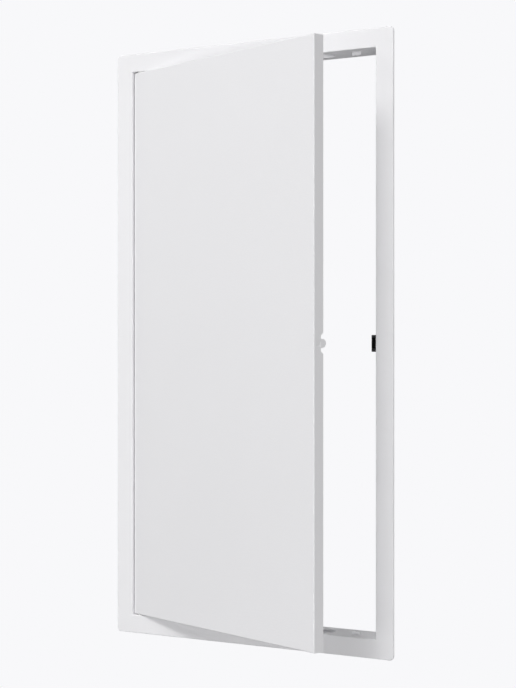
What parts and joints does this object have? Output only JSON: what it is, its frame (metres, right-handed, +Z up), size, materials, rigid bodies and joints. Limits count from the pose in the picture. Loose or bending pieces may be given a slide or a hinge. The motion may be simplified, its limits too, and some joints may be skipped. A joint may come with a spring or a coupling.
{
  "type": "access panel",
  "caption": "Flanged sheet-steel access panel for a wall: a folded door swings out on concealed pins and its tongue snaps into a catch on the frame.",
  "frame": {"origin": "on the wall plane, in the middle of the sill rail's folded safety edge, which lies on the wall", "axes": "+X to the right seen from the room, +Y into the wall, +Z up; the panel's face looks along -Y"},
  "size_m": [0.33, 0.1332, 0.629],
  "materials": {
    "white_powder_coat": "fine satin powder coat",
    "plated_steel": "bright zinc plate",
    "white_nylon": "moulded, matt",
    "black_plastic": "moulded, fine grain"
  },
  "bodies": {
    "frame": {"frame_head": "white_powder_coat", "frame_sill": "white_powder_coat", "frame_hinge_jamb": "white_powder_coat", "frame_latch_jamb": "white_powder_coat", "hinge_pin_top": "plated_steel", "hinge_pin_bottom": "plated_steel", "hinge_washer_top": "white_nylon", "hinge_washer_bottom": "white_nylon", "latch_catch": "black_plastic"},
    "door": {"door_tray": "white_powder_coat", "latch_tongue": "white_powder_coat"}
  },
  "joints": [
    {"name": "door_hinge", "type": "hinge", "parent": "frame", "child": "door", "pos_m": [-0.1359, 0.0014, 0.31], "axis": [0, 0, -1], "range_deg": [-20, 70]}
  ]
}
